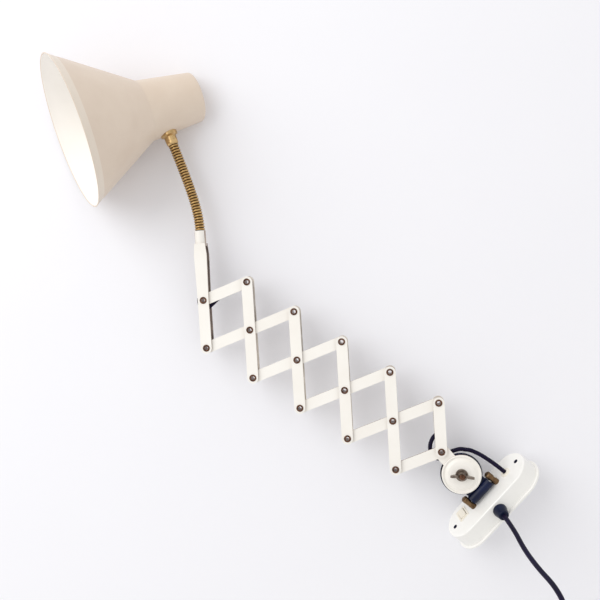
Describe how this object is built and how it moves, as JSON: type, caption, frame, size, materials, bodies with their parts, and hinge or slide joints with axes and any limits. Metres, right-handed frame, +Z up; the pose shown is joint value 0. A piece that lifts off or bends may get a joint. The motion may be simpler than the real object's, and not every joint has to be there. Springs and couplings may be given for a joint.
{
  "type": "accordion wall lamp",
  "caption": "Wall lamp on a scissor arm: an oblong wall base with a clamped swivel, riveted crossing bars, a ribbed gooseneck and a conical shade.",
  "frame": {"origin": "centre of the base's back, on the wall", "axes": "+Z up along the base, +Y into the wall, lamp reaches out towards -Y, +X to the right of a person facing the wall"},
  "size_m": [0.4384, 0.6533, 0.2807],
  "materials": {
    "base_enamel": "satin enamel",
    "arm_enamel": "satin enamel",
    "shade_enamel": "satin enamel",
    "aged_brass": "aged",
    "navy_enamel": "gloss enamel",
    "steel": "plated",
    "washer_fibre": "matte",
    "cable_sheath": "smooth",
    "navy_plastic": "gloss",
    "ivory_plastic": "gloss",
    "tie_plastic": "matte",
    "opal_glass": "opal"
  },
  "bodies": {
    "base": {"back_plate": "base_enamel", "base_cover": "base_enamel", "hinge_posts": "aged_brass", "post_nuts": "aged_brass", "hinge_pin": "steel", "cable_bush": "ivory_plastic", "cord_gland": "navy_plastic", "switch_housing": "ivory_plastic", "terminal_block": "ivory_plastic", "mains_lead": "cable_sheath", "lead_coil": "cable_sheath", "lead_tail": "cable_sheath", "cord_tie": "tie_plastic", "plug_body": "navy_plastic", "plug_pins": "aged_brass", "arm_cable_0": "cable_sheath"},
    "rocker": {"switch_rocker": "ivory_plastic"},
    "bracket": {"swivel_bracket": "navy_enamel", "friction_washer": "washer_fibre", "clamp_bolt": "aged_brass", "arm_cable_1": "cable_sheath"},
    "wing": {"wing_nut": "aged_brass"},
    "disc_plate": {"disc_arm": "arm_enamel", "nut_washer": "aged_brass", "arm_cable_2": "cable_sheath"},
    "outer_5": {"outer_bars_5": "arm_enamel", "rivets_5": "aged_brass"},
    "inner_4": {"inner_bar_4": "arm_enamel", "arm_cable_3": "cable_sheath"},
    "outer_4": {"outer_bars_4": "arm_enamel", "rivets_4": "aged_brass"},
    "inner_3": {"inner_bar_3": "arm_enamel", "arm_cable_4": "cable_sheath"},
    "outer_3": {"outer_bars_3": "arm_enamel", "rivets_3": "aged_brass"},
    "inner_2": {"inner_bar_2": "arm_enamel", "arm_cable_5": "cable_sheath"},
    "outer_2": {"outer_bars_2": "arm_enamel", "rivets_2": "aged_brass"},
    "inner_1": {"inner_bar_1": "arm_enamel", "arm_cable_6": "cable_sheath"},
    "outer_1": {"outer_bars_1": "arm_enamel", "rivets_1": "aged_brass"},
    "inner_0": {"inner_bar_0": "arm_enamel", "arm_cable_7": "cable_sheath"},
    "fork": {"end_fork": "arm_enamel", "rivets_0": "aged_brass", "gooseneck_1": "aged_brass"},
    "neck_2": {"gooseneck_2": "aged_brass"},
    "neck_3": {"gooseneck_3": "aged_brass"},
    "neck_4": {"gooseneck_4": "aged_brass"},
    "head": {"gooseneck_5": "aged_brass", "ferrule": "aged_brass", "ferrule_nut": "aged_brass", "shade": "shade_enamel", "holder_bracket": "steel", "lampholder": "ivory_plastic", "bulb_glass": "opal_glass", "bulb_cap": "steel"}
  },
  "joints": [
    {"name": "swivel", "type": "hinge", "parent": "base", "child": "bracket", "pos_m": [0, -0.028, 0], "axis": [0, 0, 1], "range_deg": [-51, 69], "deforming": ["arm_cable_0"]},
    {"name": "tilt", "type": "hinge", "parent": "bracket", "child": "disc_plate", "pos_m": [-0.00873, -0.05334, 0], "axis": [0.9455, -0.3256, 0], "range_deg": [-40, 40], "deforming": ["arm_cable_1"]},
    {"name": "wing_turn", "type": "hinge", "parent": "bracket", "child": "wing", "pos_m": [-0.00873, -0.05334, 0], "axis": [0.9455, -0.3256, 0], "continuous": true},
    {"name": "rocker_tip", "type": "hinge", "parent": "base", "child": "rocker", "pos_m": [-0.006, -0.018, -0.033], "axis": [0, 0, 1], "range_deg": [-14, 0]},
    {"name": "pivot_middle_5", "type": "hinge", "parent": "disc_plate", "child": "outer_5", "pos_m": [-0.01898, -0.08314, 0.00426], "axis": [0.9455, -0.3256, 0], "range_deg": [-46, 79], "deforming": ["arm_cable_2"]},
    {"name": "extend", "type": "hinge", "parent": "outer_5", "child": "inner_4", "pos_m": [-0.03081, -0.11748, 0.04148], "axis": [-0.9455, 0.3256, 0], "range_deg": [-46, 79], "deforming": ["arm_cable_3"]},
    {"name": "pivot_middle_4", "type": "hinge", "parent": "inner_4", "child": "outer_4", "pos_m": [-0.03836, -0.13941, -0.00506], "axis": [0.9455, -0.3256, 0], "range_deg": [-46, 79], "deforming": ["arm_cable_3"]},
    {"name": "pivot_top_4", "type": "hinge", "parent": "outer_4", "child": "inner_3", "pos_m": [-0.05019, -0.17375, 0.03216], "axis": [0.9455, -0.3256, 0], "range_deg": [-79, 46], "deforming": ["arm_cable_4"]},
    {"name": "pivot_middle_3", "type": "hinge", "parent": "inner_3", "child": "outer_3", "pos_m": [-0.05774, -0.19569, -0.01438], "axis": [0.9455, -0.3256, 0], "range_deg": [-46, 79], "deforming": ["arm_cable_4"]},
    {"name": "pivot_top_3", "type": "hinge", "parent": "outer_3", "child": "inner_2", "pos_m": [-0.06956, -0.23003, 0.02284], "axis": [0.9455, -0.3256, 0], "range_deg": [-79, 46], "deforming": ["arm_cable_5"]},
    {"name": "pivot_middle_2", "type": "hinge", "parent": "inner_2", "child": "outer_2", "pos_m": [-0.07712, -0.25197, -0.0237], "axis": [0.9455, -0.3256, 0], "range_deg": [-46, 79], "deforming": ["arm_cable_5"]},
    {"name": "pivot_top_2", "type": "hinge", "parent": "outer_2", "child": "inner_1", "pos_m": [-0.08894, -0.28631, 0.01352], "axis": [0.9455, -0.3256, 0], "range_deg": [-79, 46], "deforming": ["arm_cable_6"]},
    {"name": "pivot_middle_1", "type": "hinge", "parent": "inner_1", "child": "outer_1", "pos_m": [-0.0965, -0.30824, -0.03302], "axis": [0.9455, -0.3256, 0], "range_deg": [-46, 79], "deforming": ["arm_cable_6"]},
    {"name": "pivot_top_1", "type": "hinge", "parent": "outer_1", "child": "inner_0", "pos_m": [-0.10832, -0.34258, 0.00419], "axis": [0.9455, -0.3256, 0], "range_deg": [-79, 46], "deforming": ["arm_cable_7"]},
    {"name": "pivot_middle_0", "type": "hinge", "parent": "inner_0", "child": "fork", "pos_m": [-0.11587, -0.36452, -0.04234], "axis": [0.9455, -0.3256, 0], "range_deg": [-46, 79], "deforming": ["arm_cable_7"]},
    {"name": "neck_bend_1", "type": "hinge", "parent": "fork", "child": "neck_2", "pos_m": [-0.13789, -0.428, 0.02429], "axis": [0.9455, -0.3256, 0], "range_deg": [-20, 20]},
    {"name": "neck_side_1", "type": "hinge", "parent": "neck_2", "child": "neck_3", "pos_m": [-0.14334, -0.44384, 0.03538], "axis": [-0.1662, -0.4827, -0.8599], "range_deg": [-20, 20]},
    {"name": "neck_bend_2", "type": "hinge", "parent": "neck_3", "child": "neck_4", "pos_m": [-0.14903, -0.46037, 0.04531], "axis": [0.9455, -0.3256, 0], "range_deg": [-20, 20]},
    {"name": "neck_side_2", "type": "hinge", "parent": "neck_4", "child": "head", "pos_m": [-0.15481, -0.47715, 0.05475], "axis": [-0.1503, -0.4366, -0.887], "range_deg": [-20, 20]}
  ],
  "couplings": [
    {"joint": "pivot_middle_5", "follows": "extend", "ratio": 1},
    {"joint": "pivot_middle_4", "follows": "extend", "ratio": 1},
    {"joint": "pivot_top_4", "follows": "extend", "ratio": -1},
    {"joint": "pivot_middle_3", "follows": "extend", "ratio": 1},
    {"joint": "pivot_top_3", "follows": "extend", "ratio": -1},
    {"joint": "pivot_middle_2", "follows": "extend", "ratio": 1},
    {"joint": "pivot_top_2", "follows": "extend", "ratio": -1},
    {"joint": "pivot_middle_1", "follows": "extend", "ratio": 1},
    {"joint": "pivot_top_1", "follows": "extend", "ratio": -1},
    {"joint": "pivot_middle_0", "follows": "extend", "ratio": 1},
    {"joint": "neck_bend_2", "follows": "neck_bend_1", "ratio": 1},
    {"joint": "neck_side_2", "follows": "neck_side_1", "ratio": 1}
  ]
}
